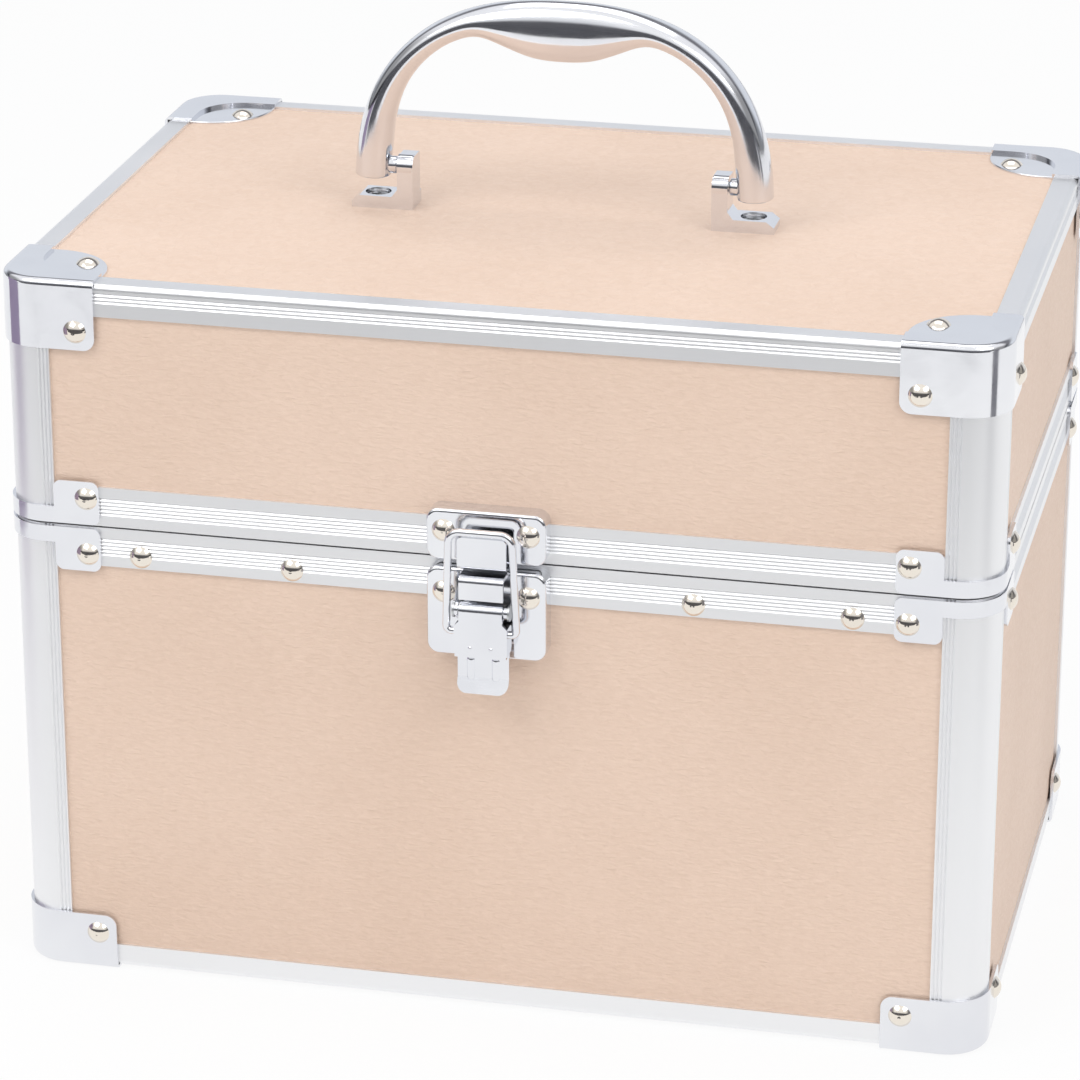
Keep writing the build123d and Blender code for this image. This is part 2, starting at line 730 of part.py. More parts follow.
def thumb_tab(low):
    """Tab below the lever's plate: steps back, runs down, and leans out at its tip, with two grip ribs."""
    t = lever_sheet
    face, back = thumb_tab_reach, thumb_tab_reach - t
    bend = low - thumb_tab_length
    end = bend - thumb_tip_length
    far = face + thumb_tip_reach
    lap = low + t / 2
    points = [(lever_face, lap), (lever_face, low - t), (face, low - t), (face, bend), (far, end), (far - t, end),
              (back, bend), (back, lap)]
    tab = across(latch_section(points), thumb_tab_width)
    half = thumb_tab_width / 2
    outline = rect((-half, half), (end, low + t))
    outline = fillet(outline.vertices().group_by(Axis.Y)[0], thumb_tip_radius)
    tab = tab & extrude(Plane.XZ * outline, amount=half_depth + front_reach + 1, both=True)
    rib_reach = face + thumb_rib_height - thumb_rib_radius
    rib_places = [(front - rib_reach, bend + thumb_rib_length), (front - rib_reach, bend)]
    for x in (-thumb_rib_spread / 2, thumb_rib_spread / 2):
        tab += rod((x, *rib_places[1]), (x, *rib_places[0]), thumb_rib_radius)
        for place in rib_places:
            tab += Pos(x, *place) * Sphere(thumb_rib_radius)
    return tab


def lever_plate(low):
    """The lever's front plate, as wide as the roll at the pin and wider below."""
    narrow, wide = lever_roll_width / 2, lever_width / 2
    top = lever_pin_height
    right = [(narrow, top), (narrow, top - lever_shoulder_top), (wide, top - lever_shoulder_low), (wide, low)]
    outline = make_face(Polyline(*right, *[(-x, z) for x, z in reversed(right)], close=True))
    plate = extrude(Plane.XZ * outline, amount=lever_sheet)
    return Pos(0, front - lever_face + lever_sheet, 0) * plate


def make_latch_lever():
    half = lever_width / 2
    low = lever_pin_height - lever_plate_length
    roll_half = lever_roll_width / 2
    roll = along_x(-roll_half, roll_half, lever_pin_reach, lever_pin_height, lever_roll_radius)
    cheek_top = lever_pin_height - lever_shoulder_low
    cheek = block((half - lever_sheet, half), (front - lever_face, front - lever_cheek_back), (low, cheek_top))
    for z in (low, cheek_top):
        cheek = fillet(edges_near(cheek, Axis.X, front - lever_cheek_back, z), lever_cheek_radius)
    body = roll + lever_plate(low) + cheek + mirror(cheek, Plane.YZ) + thumb_tab(low)
    ball = front - lever_face - lever_dimple_height + lever_dimple_radius
    for x in (-lever_dimple_spread / 2, lever_dimple_spread / 2):
        body += Pos(x, ball, low + lever_dimple_rise) * Sphere(lever_dimple_radius)
    bore = lever_pin_diameter / 2 + running_clearance
    hole = along_x(-half, half, lever_pin_reach, lever_pin_height, bore)
    eye = along_x(-half - 1, half + 1, bail_pivot_reach, bail_pivot_height, bail_radius + running_clearance)
    node("latch_lever", body - hole - eye)


def make_bail():
    """Wire loop: its ends turn inwards into the lever's cheeks, its bar lies in front of the hook."""
    side, top_side = bail_width / 2 - bail_radius, bail_top_width / 2 - bail_radius
    bar_y = front - bail_reach + bail_radius
    eye_y = front - bail_pivot_reach
    bar_z = lever_pin_height + bail_bar_rise
    end = lever_width / 2 - lever_sheet + running_clearance
    right = [(top_side, bar_y, bar_z), (side, eye_y, bail_pivot_height), (end, eye_y, bail_pivot_height)]
    points = [(-x, y, z) for x, y, z in reversed(right)] + right
    radii = [bail_end_radius, bail_corner_radius, bail_corner_radius, bail_end_radius]
    path = FilletPolyline(*points, radius=radii)
    section = Plane(origin=path @ 0, z_dir=path % 0) * Circle(bail_radius)
    node("latch_bail", sweep(section, path=path))


# ---------------------------------------------------------------- handle
def handle_outer(angle):
    """Point on the handle's outer curve, a superellipse, at an angle from the right leg."""
    power = 2 / handle_curve_power
    c, s = cos(radians(angle)), sin(radians(angle))
    x = handle_half_span * abs(c) ** power * (1 if c >= 0 else -1)
    z = handle_spring_height + (handle_rise - handle_spring_height) * abs(s) ** power
    return x, z


# Thickness of the handle in its own plane, at angles from a leg to the middle: stout legs,
# slim shoulders, and a swollen grip.
handle_thickness = [(3.0, handle_leg), (12.0, 9.0), (22.0, 8.0), (34.0, 7.0), (48.0, 6.4), (60.0, 6.4),
                    (68.0, 7.4), (76.0, 11.6), (83.0, 14.6), (90.0, 15.6)]


def oval(a, b):
    """An oval of four curves, whose seam stays at the same side whatever its proportions."""
    k = handle_fullness
    quarters = [((1, 0), (1, k), (k, 1), (0, 1)), ((0, 1), (-k, 1), (-1, k), (-1, 0)),
                ((-1, 0), (-1, -k), (-k, -1), (0, -1)), ((0, -1), (k, -1), (1, -k), (1, 0))]
    return make_face([Bezier(*[(a * x, b * y) for x, y in quarter]) for quarter in quarters])


def handle_section(angle, thickness):
    x, z = handle_outer(angle)
    ahead, behind = handle_outer(angle + 0.5), handle_outer(angle - 0.5)
    along = (ahead[0] - behind[0], ahead[1] - behind[1])
    length = hypot(*along)
    along = (along[0] / length, along[1] / length)
    inward = (-along[1], along[0])
    middle = (x + inward[0] * thickness / 2, pivot_from_middle, panel_top + z + inward[1] * thickness / 2)
    plane = Plane(origin=middle, x_dir=(inward[0], 0, inward[1]), z_dir=(along[0], 0, along[1]))
    return plane * oval(thickness / 2, handle_depth / 2)


def make_handle():
    stations = handle_thickness + [(180 - a, t) for a, t in reversed(handle_thickness[:-1])]
    arch = loft([handle_section(a, t) for a, t in stations])
    low = pivot_height - handle_leg_below_pivot
    wide = handle_half_span + handle_leg
    arch = arch - block((-wide, wide), (front, -front), (panel_top, low))
    inner = bracket_inner + bracket_post_width + handle_gap
    leg_middle = handle_half_span - handle_leg / 2
    hub = rod((inner, pivot_from_middle, pivot_height), (leg_middle, pivot_from_middle, pivot_height),
              handle_hub_diameter / 2)
    bore = rod((inner - 1, pivot_from_middle, pivot_height), (leg_middle + 0.1, pivot_from_middle, pivot_height),
               handle_pin_diameter / 2 + running_clearance)
    grip = arch + hub + mirror(hub, Plane.YZ)
    node("handle", grip - bore - mirror(bore, Plane.YZ))


def bracket():
    """Left bracket is the mirror of this one: a foot under the leg and a post beside it, with a barrel."""
    y = pivot_from_middle
    near = y - bracket_front
    top = panel_top + bracket_foot_thickness
    post_back = bracket_inner + bracket_post_width
    drop, run = bracket_end_chamfer
    rise, along = bracket_gusset
    outline = Polyline((bracket_inner, panel_top), (bracket_outer, panel_top), (bracket_outer, top - drop),
                       (bracket_outer - run, top), (post_back + along, top), (post_back, top + rise),
                       (bracket_inner, top + rise), close=True)
    foot = extrude(Plane.XZ * make_face(outline), amount=-(bracket_front + bracket_foot_back))
    foot = Pos(0, near, 0) * foot
    post_top = pivot_height + bracket_front
    post = block((bracket_inner, post_back), (near, y + bracket_post_back), (panel_top, post_top))
    post = fillet(edges_near(post, Axis.X, near, post_top), bracket_front)
    post = chamfer(edges_near(post, Axis.X, y + bracket_post_back, post_top), bracket_edge)
    foot = foot - block((bracket_inner - 1, post_back + along), (y + bracket_post_back, y + bracket_foot_back + 1),
                        (top, top + rise + 1))
    barrel = rod((bracket_inner + bracket_barrel_inset, y, pivot_height), (post_back, y, pivot_height),
                 bracket_barrel_radius)
    return foot + post + barrel


def screw():
    """Round-headed screw in a bore that opens at Z = 0: the screw less its cross, and the bore."""
    radius = screw_head_diameter / 2
    head = rod((0, 0, -screw_sink), (0, 0, screw_head_height - screw_sink), radius)
    head = fillet(head.edges().group_by(Axis.Z)[-1], screw_head_edge)
    stem = rod((0, 0, -screw_length), (0, 0, -screw_sink), screw_diameter / 2)
    width, length = screw_slot[0] / 2, screw_slot[1] / 2
    deep = (screw_head_height - screw_sink - screw_slot_depth, 1)
    cross = block((-width, width), (-length, length), deep) + block((-length, length), (-width, width), deep)
    return head + stem - cross, rod((0, 0, -screw_sink), (0, 0, 1), screw_bore_diameter / 2)


def make_brackets():
    solid, bore = screw()
    pin_end = handle_half_span - handle_leg / 2
    pin = rod((bracket_inner + handle_pin_setback, pivot_from_middle, pivot_height),
              (pin_end, pivot_from_middle, pivot_height), handle_pin_diameter / 2)
    right = bracket() - screw_holes[1] - screw_places[1] * bore - pin
    node("handle_bracket_right", right)
    node("handle_bracket_left", mirror(right, Plane.YZ))
    node("handle_bracket_screws", [p * solid for p in screw_places])
    node("handle_pivot_pins", both_sides([pin]))


# ---------------------------------------------------------------- hinges
hinge_axis_y = half_depth + hinge_axis_reach


def hinge_leaf(middle, sign):
    """One leaf with its knuckles. The base leaf, sign -1, has the outer knuckles."""
    edge = base_top if sign < 0 else lid_bottom
    low, high = sorted((edge + sign * hinge_leaf_height, seam + sign * (hinge_barrel_radius + hinge_gap)))
    x = (middle - hinge_width / 2, middle + hinge_width / 2)
    leaf = block(x, (half_depth, half_depth + hinge_sheet), (low, high))
    far = low if sign < 0 else high
    ends = [e for e in leaf.edges().filter_by(Axis.Y) if abs(e.center().Z - far) < 0.01]
    leaf = fillet(ends, hinge_corner_radius)
    pitch = hinge_width / hinge_knuckles
    for i in range(hinge_knuckles):
        if (i % 2 == 0) != (sign < 0):
            continue
        a = x[0] + i * pitch + (running_clearance if i else 0)
        b = x[0] + (i + 1) * pitch - (running_clearance if i < hinge_knuckles - 1 else 0)
        barrel = rod((a, hinge_axis_y, seam), (b, hinge_axis_y, seam), hinge_barrel_radius)
        neck = block((a, b), (half_depth + hinge_gap / 2, half_depth + hinge_gap / 2 + hinge_sheet),
                     sorted((seam, edge + sign * hinge_neck_reach)))
        leaf = leaf + barrel + neck
    return leaf


def make_hinges():
    bore = hinge_pin_diameter / 2
    middles = (-hinge_from_middle, hinge_from_middle)
    base_leaves, lid_leaves, pins = [], [], []
    for middle in middles:
        a, b = middle - hinge_width / 2, middle + hinge_width / 2
        pin = rod((a, hinge_axis_y, seam), (b, hinge_axis_y, seam), bore)
        wide = rod((a - 1, hinge_axis_y, seam), (b + 1, hinge_axis_y, seam), bore + running_clearance)
        base_leaves.append(cut(hinge_leaf(middle, -1), [pin] + base_hinge_holes))
        lid_leaves.append(cut(hinge_leaf(middle, 1), [wide] + lid_hinge_holes))
        pins.append(pin)
    node("hinge_base_leaves", base_leaves)
    node("hinge_lid_leaves", lid_leaves)
    node("hinge_pins", pins)
    node("hinge_base_rivets", [p * rivet(grip=hinge_grip) for p in base_hinge_places])
    node("hinge_lid_rivets", [p * rivet(grip=hinge_grip) for p in lid_hinge_places])


# ---------------------------------------------------------------- trays
arm_drop = arm_length * sin(radians(arm_angle))
arm_run = arm_length * cos(radians(arm_angle))
tray_pivot_height = rim_rivet_height - arm_drop
tray_top = tray_pivot_height + tray_top_above_pivot
tray_left = left + board_back + lining_thickness + tray_outer_side_gap
tray_right = -tray_middle_gap


def arm(pivot_x):
    """Arm of the left tray, at the front of the case."""
    near = (pivot_x, 0, rim_rivet_height)
    far = (pivot_x + arm_run, 0, tray_pivot_height)
    y0, y1 = front + arm_low, front + arm_high
    plate = rod((near[0], y0, near[2]), (near[0], y1, near[2]), arm_half_width)
    plate += rod((far[0], y0, far[2]), (far[0], y1, far[2]), arm_half_width)
    bar = block((-arm_length / 2, arm_length / 2), (y0, y1), (-arm_half_width, arm_half_width))
    middle = ((near[0] + far[0]) / 2, (near[2] + far[2]) / 2)
    plate += Pos(middle[0], 0, middle[1]) * Rot(0, arm_angle, 0) * bar
    for x, _, z in (near, far):
        plate = plate - rod((x, y0 - 1, z), (x, y1 + 1, z), shank_radius + running_clearance)
    return plate


def tray_rivet(pivot_x):
    x = pivot_x + arm_run
    z = tray_pivot_height
    outer = front + arm_low - running_clearance
    inner = front + tray_end + tray_wall
    pin = rod((x, outer, z), (x, inner, z), shank_radius)
    pin += rod((x, outer - pivot_head_height, z), (x, outer, z), pivot_head_radius)
    pin += rod((x, inner, z), (x, inner + pivot_head_height, z), pivot_head_radius)
    return pin


def tray_body(rivets):
    """Open tray with one long bay beside three short ones."""
    y = (front + tray_end, -front - tray_end)
    z = (tray_top - tray_height, tray_top)
    tray = block((tray_left, tray_right), y, z)
    tray = fillet(tray.edges().filter_by(Axis.Z), tray_corner_radius)
    bay_z = (z[0] + tray_wall, z[1] + 1)
    inner_y = (y[0] + tray_wall, y[1] - tray_wall)
    split = tray_left + (tray_right - tray_left) * tray_long_bay_share
    bays = [block((tray_left + tray_wall, split - tray_divider / 2), inner_y, bay_z)]
    short = (inner_y[1] - inner_y[0] - 2 * tray_divider) / 3
    for i in range(3):
        low = inner_y[0] + i * (short + tray_divider)
        bays.append(block((split + tray_divider / 2, tray_right - tray_wall), (low, low + short), bay_z))
    bays = [fillet(b.edges().filter_by(Axis.Z), tray_corner_radius / 2) for b in bays]
    return cut(tray, bays + rivets)


def make_trays():
    rivets = front_and_back([tray_rivet(x) for x in pivot_xs])
    tray = tray_body(rivets)
    outer, inner = arm(pivot_xs[0]), arm(pivot_xs[1])
    node("tray_pivot_rivets", pivot_rivets)
    for side in ("left", "right"):
        sets = {"tray": [tray], "tray_rivets": rivets,
                "outer_arms": front_and_back([outer]), "inner_arms": front_and_back([inner])}
        for name, solids in sets.items():
            if side == "right":
                solids = [mirror(s, Plane.YZ) for s in solids]
            node(side + "_" + name, solids)


# ---------------------------------------------------------------- build and write
make_boards()
make_skins()
make_linings()
make_frame()
make_caps()
make_keeper()
make_latch_base()
make_latch_lever()
make_bail()
make_handle()
make_brackets()
make_hinges()
make_trays()

os.makedirs("parts", exist_ok=True)
for name, solids in nodes.items():
    shape = solids[0] if len(solids) == 1 else Compound(children=solids)
    export_step(shape, "parts/" + name + ".step")

print("centring shift", round(shift, 3))
print("lid hinge axis", round(hinge_axis_y + shift, 3), round(seam, 3))
print("lever pin axis", round(front - lever_pin_reach + shift, 3), round(lever_pin_height, 3))
print("bail axis", round(front - bail_pivot_reach + shift, 3), round(bail_pivot_height, 3))
print("handle axis", round(pivot_from_middle + shift, 3), round(pivot_height, 3))
print("arm pivots", pivot_xs, round(rim_rivet_height, 3))
print("tray pivots", round(pivot_xs[0] + arm_run, 3), round(pivot_xs[1] + arm_run, 3), round(tray_pivot_height, 3))
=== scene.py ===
import bpy
import json
from math import cos, pi, radians, sin
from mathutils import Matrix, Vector, noise

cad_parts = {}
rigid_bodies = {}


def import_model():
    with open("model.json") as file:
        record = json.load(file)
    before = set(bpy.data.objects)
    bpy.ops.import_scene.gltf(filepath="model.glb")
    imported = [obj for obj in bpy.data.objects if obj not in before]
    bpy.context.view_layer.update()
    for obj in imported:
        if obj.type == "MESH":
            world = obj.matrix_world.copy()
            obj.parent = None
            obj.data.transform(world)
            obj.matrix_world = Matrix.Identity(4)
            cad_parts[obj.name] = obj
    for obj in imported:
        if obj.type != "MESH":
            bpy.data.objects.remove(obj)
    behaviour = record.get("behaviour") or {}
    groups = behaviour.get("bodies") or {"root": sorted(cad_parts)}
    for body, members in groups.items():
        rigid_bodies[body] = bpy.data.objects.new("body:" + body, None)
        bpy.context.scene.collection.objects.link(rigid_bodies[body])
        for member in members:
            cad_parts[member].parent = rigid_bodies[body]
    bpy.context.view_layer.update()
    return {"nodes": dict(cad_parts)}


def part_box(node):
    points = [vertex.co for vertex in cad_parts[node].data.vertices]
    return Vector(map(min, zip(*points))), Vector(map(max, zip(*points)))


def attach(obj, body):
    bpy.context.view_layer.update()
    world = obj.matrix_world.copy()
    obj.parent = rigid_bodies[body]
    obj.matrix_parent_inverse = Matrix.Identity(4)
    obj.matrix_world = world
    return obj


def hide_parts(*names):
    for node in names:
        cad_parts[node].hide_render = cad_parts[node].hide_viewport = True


# The looks of a hard-sided makeup case: leatherette panels, satin aluminium rails and posts,
# polished caps, latch and handle. Lengths are in metres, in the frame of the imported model.

for leftover in list(bpy.data.objects):
    bpy.data.objects.remove(leftover)

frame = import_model()
nodes = frame["nodes"]
scene = bpy.context.scene
mm = 0.001

# ---------------------------------------------------------------- camera
photo_size = 1080
focal_pixels = 4500
sensor_width = 36.0
camera_azimuth = 12.87          # degrees, to the right of the case's front
camera_elevation = 21.46
camera_distance = 1.208
camera_target = Vector((-0.0132, 0.03205, 0.0827))


def direction(azimuth, elevation):
    """Unit vector from the case towards a viewer at that azimuth and elevation, in degrees."""
    a, e = radians(azimuth), radians(elevation)
    return Vector((sin(a) * cos(e), -cos(a) * cos(e), sin(e)))


def make_camera():
    data = bpy.data.cameras.new("camera")
    data.sensor_width = sensor_width
    data.lens = focal_pixels / photo_size * sensor_width
    camera = bpy.data.objects.new("camera", data)
    scene.collection.objects.link(camera)
    back = direction(camera_azimuth, camera_elevation)
    camera.location = camera_target + back * camera_distance
    camera.rotation_euler = (-back).to_track_quat("-Z", "Y").to_euler()
    scene.camera = camera


# ---------------------------------------------------------------- shader helpers
class Shader:
    """A material's node tree, with short ways to add and link its nodes."""

    def __init__(self, name, constants):
        self.material = bpy.data.materials.new(name)
        self.material.use_nodes = True
        self.tree = self.material.node_tree
        self.surface = self.tree.nodes["Principled BSDF"]
        for socket, value in constants.items():
            self.surface.inputs[socket].default_value = value
        self.place = self.add("ShaderNodeTexCoord").outputs["Object"]

    def add(self, kind, inputs=None, **properties):
        """A new node. Its inputs are values, or outputs of other nodes to link."""
        made = self.tree.nodes.new(kind)
        for name, value in properties.items():
            setattr(made, name, value)
        for name, value in (inputs or {}).items():
            if isinstance(value, bpy.types.NodeSocket):
                self.tree.links.new(value, made.inputs[name])
            else:
                made.inputs[name].default_value = value
        return made

    def drive(self, socket, output):
        self.tree.links.new(output, self.surface.inputs[socket])

    def stretched(self, x, y, z):
        """The place on the piece, scaled along each axis, in cycles per metre."""
        return self.add("ShaderNodeMapping", {"Vector": self.place, "Scale": (x, y, z)}).outputs["Vector"]

    def noise(self, vector, scale=1.0, detail=3.0, roughness=0.5, distortion=0.0):
        inputs = {"Vector": vector, "Scale": scale, "Detail": detail, "Roughness": roughness,
                  "Distortion": distortion}
        return self.add("ShaderNodeTexNoise", inputs).outputs["Fac"]

    def cells(self, vector, smoothness=0.6):
        inputs = {"Vector": vector, "Scale": 1.0, "Smoothness": smoothness}
        return self.add("ShaderNodeTexVoronoi", inputs, feature="SMOOTH_F1").outputs["Distance"]

    def span(self, value, old, new):
        """Maps a value from the range old to the range new, clamped."""
        inputs = {"Value": value, "From Min": old[0], "From Max": old[1], "To Min": new[0], "To Max": new[1]}
        return self.add("ShaderNodeMapRange", inputs).outputs["Result"]

    def sums(self, operation, a, b):
        made = self.add("ShaderNodeMath", operation=operation)
        for slot, value in zip(made.inputs, (a, b)):
            if isinstance(value, bpy.types.NodeSocket):
                self.tree.links.new(value, slot)
            else:
                slot.default_value = value
        return made.outputs[0]

    def blend(self, factor, first, second):
        """Colour between two colours by a factor."""
        made = self.add("ShaderNodeMix", data_type="RGBA")
        self.tree.links.new(factor, made.inputs["Factor"])
        made.inputs[6].default_value = (*first, 1)
        made.inputs[7].default_value = (*second, 1)
        return made.outputs[2]

    def bump(self, height, depth, under=None):
        """Relief of a height map from 0 to 1, with depth in metres."""
        inputs = {"Height": height, "Distance": depth, "Strength": 1.0}
        if under is not None:
            inputs["Normal"] = under
        return self.add("ShaderNodeBump", inputs).outputs["Normal"]

    def along_x(self):
        """1 on rails that run along X, which lie near the front and back, and 0 on the others."""
        y = self.add("ShaderNodeSeparateXYZ", {"Vector": self.place}).outputs["Y"]
        return self.sums("GREATER_THAN", self.sums("ABSOLUTE", y, 0.0), rail_line)


rail_line = 70 * mm             # the rails further than this from the middle plane run along X
finishes = {}


def make_leatherette():
    """Pebbled leatherette whose grain is longer across than up."""
    shader = Shader("leatherette", {"Roughness": 0.52, "Specular IOR Level": 0.42, "Sheen Weight": 0.12,
                                    "Sheen Roughness": 0.45, "Sheen Tint": (1.0, 0.93, 0.87, 1)})
    wander = shader.noise(shader.stretched(240, 240, 420), detail=2.0, distortion=0.6)
    warped = shader.add("ShaderNodeVectorMath", {0: shader.stretched(480, 480, 1150), 1: wander},
                        operation="ADD").outputs["Vector"]
    pebbles = shader.cells(warped, 0.55)
    creases = shader.noise(shader.stretched(380, 380, 1150), detail=4.0, roughness=0.58, distortion=0.9)
    waves = shader.noise(shader.place, 46.0, detail=2.0)
    relief = shader.bump(pebbles, -0.10 * mm)
    relief = shader.bump(creases, 0.26 * mm, relief)
    shader.drive("Normal", shader.bump(waves, 0.25 * mm, relief))
    clouds = shader.noise(shader.place, 14.0, detail=4.0)
    tone = shader.sums("ADD", shader.sums("MULTIPLY", clouds, 0.5), shader.sums("MULTIPLY", creases, 0.5))
    tone = shader.span(tone, (0.35, 0.65), (0.0, 1.0))
    shader.drive("Base Color", shader.blend(tone, (0.750, 0.560, 0.440), (0.830, 0.636, 0.512)))
    shader.drive("Roughness", shader.span(creases, (0.3, 0.8), (0.60, 0.44)))
    return shader.material


def make_aluminium():
    """Satin anodised extrusion with faint drawing lines along each rail and post."""
    shader = Shader("aluminium", {"Metallic": 1.0})
    across_x = shader.noise(shader.stretched(9, 2600, 2600), detail=3.0)
    across_y = shader.noise(shader.stretched(2600, 9, 2600), detail=3.0)
    pick = shader.add("ShaderNodeMix", {"Factor": shader.along_x()}, data_type="FLOAT")
    shader.tree.links.new(across_y, pick.inputs[2])
    shader.tree.links.new(across_x, pick.inputs[3])
    lines = pick.outputs[0]
    grain = shader.noise(shader.place, 5200.0, detail=2.0)
    clouds = shader.noise(shader.place, 26.0, detail=4.0)
    shader.drive("Base Color", shader.blend(clouds, (0.900, 0.906, 0.922), (0.945, 0.948, 0.956)))
    shader.drive("Roughness", shader.span(shader.sums("ADD", lines, clouds), (0.7, 1.3), (0.38, 0.50)))
    relief = shader.bump(lines, 0.006 * mm)
    shader.drive("Normal", shader.bump(grain, 0.004 * mm, relief))
    return shader.material


def make_nickel(name, bright, dark, roughness, ripple):
    """Polished plating with faint smudges and the slight ripple of pressed sheet."""
    shader = Shader(name, {"Metallic": 1.0})
    smudges = shader.noise(shader.place, 95.0, detail=6.0, roughness=0.62, distortion=0.5)
    clouds = shader.noise(shader.place, 34.0, detail=3.0)
    scratches = shader.noise(shader.stretched(240, 240, 4200), detail=4.0, roughness=0.7)
    shader.drive("Base Color", shader.blend(clouds, dark, bright))
    worn = shader.sums("ADD", shader.sums("MULTIPLY", smudges, 0.8), shader.sums("MULTIPLY", scratches, 0.2))
    shader.drive("Roughness", shader.span(worn, (0.35, 0.72), roughness))
    relief = shader.bump(clouds, ripple)
    shader.drive("Normal", shader.bump(smudges, ripple * 0.16, relief))
    return shader.material


def make_steel():
    """Nickel-plated steel of hinges, arms and pins, finely flecked."""
    shader = Shader("steel", {"Metallic": 1.0})
    flecks = shader.noise(shader.stretched(900, 900, 300), detail=6.0, roughness=0.7)
    clouds = shader.noise(shader.place, 60.0, detail=4.0)
    shader.drive("Base Color", shader.blend(clouds, (0.52, 0.53, 0.54), (0.66, 0.67, 0.68)))
    shader.drive("Roughness", shader.span(flecks, (0.3, 0.7), (0.26, 0.42)))
    shader.drive("Normal", shader.bump(flecks, 0.012 * mm))
    return shader.material


def make_board():
    """Pressed fibre board, with short fibres lying along it."""
    shader = Shader("board", {"Roughness": 0.85})
    fibres = shader.noise(shader.stretched(260, 260, 1500), detail=7.0, roughness=0.72, distortion=0.4)
    specks = shader.noise(shader.place, 900.0, detail=3.0)
    tone = shader.sums("ADD", shader.sums("MULTIPLY", fibres, 0.7), shader.sums("MULTIPLY", specks, 0.3))
    shader.drive("Base Color", shader.blend(tone, (0.30, 0.19, 0.11), (0.56, 0.40, 0.26)))
    shader.drive("Normal", shader.bump(fibres, 0.08 * mm))
    return shader.material


def make_lining():
    """Short-pile lining cloth over a fine weave."""
    shader = Shader("lining", {"Roughness": 0.95, "Sheen Weight": 0.5, "Sheen Roughness": 0.4,
                               "Specular IOR Level": 0.2})
    pile = shader.noise(shader.place, 2600.0, detail=4.0, roughness=0.75)
    nap = shader.noise(shader.stretched(60, 60, 90), detail=4.0, distortion=0.8)
    tone = shader.sums("ADD", shader.sums("MULTIPLY", pile, 0.45), shader.sums("MULTIPLY", nap, 0.55))
    shader.drive("Base Color", shader.blend(tone, (0.016, 0.016, 0.018), (0.055, 0.055, 0.060)))
    relief = shader.bump(pile, 0.14 * mm)
    shader.drive("Normal", shader.bump(nap, 0.20 * mm, relief))
    return shader.material


def make_tray_plastic():
    """Moulded plastic with a fine spark-eroded texture and polished high spots."""
    shader = Shader("tray_plastic", {"Specular IOR Level": 0.5})
    spark = shader.noise(shader.place, 1800.0, detail=4.0, roughness=0.65)
    clouds = shader.noise(shader.place, 22.0, detail=3.0)
    shader.drive("Base Color", shader.blend(clouds, (0.040, 0.040, 0.043), (0.062, 0.062, 0.066)))
    shader.drive("Roughness", shader.span(spark, (0.3, 0.7), (0.36, 0.52)))
    shader.drive("Normal", shader.bump(spark, 0.02 * mm))
    return shader.material


def make_mirror():
    """Silvered glass, with faint haze."""
    shader = Shader("mirror", {"Metallic": 1.0, "Coat Weight": 0.3})
    haze = shader.noise(shader.place, 40.0, detail=6.0, roughness=0.7)
    shader.drive("Base Color", shader.blend(haze, (0.80, 0.83, 0.83), (0.88, 0.90, 0.90)))
    shader.drive("Roughness", shader.span(haze, (0.4, 0.8), (0.01, 0.05)))
    return shader.material


def dress_nodes():
    """Gives every carried-over node the finish that its slot names."""
    finishes["leatherette"] = make_leatherette()
    finishes["aluminium"] = make_aluminium()
    finishes["polished_metal"] = make_nickel("polished_metal", (0.90, 0.91, 0.93), (0.72, 0.73, 0.78),
                                             (0.06, 0.20), 0.07 * mm)
    finishes["rivet_metal"] = make_nickel("rivet_metal", (0.90, 0.84, 0.75), (0.80, 0.74, 0.66),
                                          (0.06, 0.14), 0.01 * mm)
    finishes["steel"] = make_steel()
    finishes["board"] = make_board()
    finishes["lining"] = make_lining()
    finishes["tray_plastic"] = make_tray_plastic()
    finishes["mirror"] = make_mirror()
    for piece in nodes.values():
        for place in piece.material_slots:
            slot = place.material.name.split(".")[0]
            place.material = finishes[slot]


# ---------------------------------------------------------------- leather panels
panel_swell = 0.22 * mm         # how far a panel stands out beyond its skin
panel_roll = 2.6 * mm           # over which it rises from a rail's edge
panel_tuck = 1.6 * mm           # how far it reaches under the rails
panel_ripple = 0.05 * mm
panel_step = 1.5 * mm
panel_slow_waves = (60, 90)     # along and up the panel, in cycles per metre
panel_fast_waves = (190, 260)
panel_fast_seed = 7.3           # keeps the fast waves apart from the slow ones
post_face = 13.0 * mm           # visible width of a corner post
top_flange = 6.3 * mm           # width of the rails round the top panel


def smooth(t):
    t = min(1.0, max(0.0, t))
    return t * t * (3 - 2 * t)


def leather_height(u, v, width, height, seed):
    """How far the leather stands out at a point of its panel."""
    edge = min(u, v, width - u, height - v) - panel_tuck
    rise = smooth(edge / panel_roll)
    slow = noise.noise(Vector((u * panel_slow_waves[0], v * panel_slow_waves[1], seed)))
    fast = noise.noise(Vector((u * panel_fast_waves[0], v * panel_fast_waves[1], seed + panel_fast_seed)))
    return rise * (panel_swell + panel_ripple * (slow + 0.5 * fast))


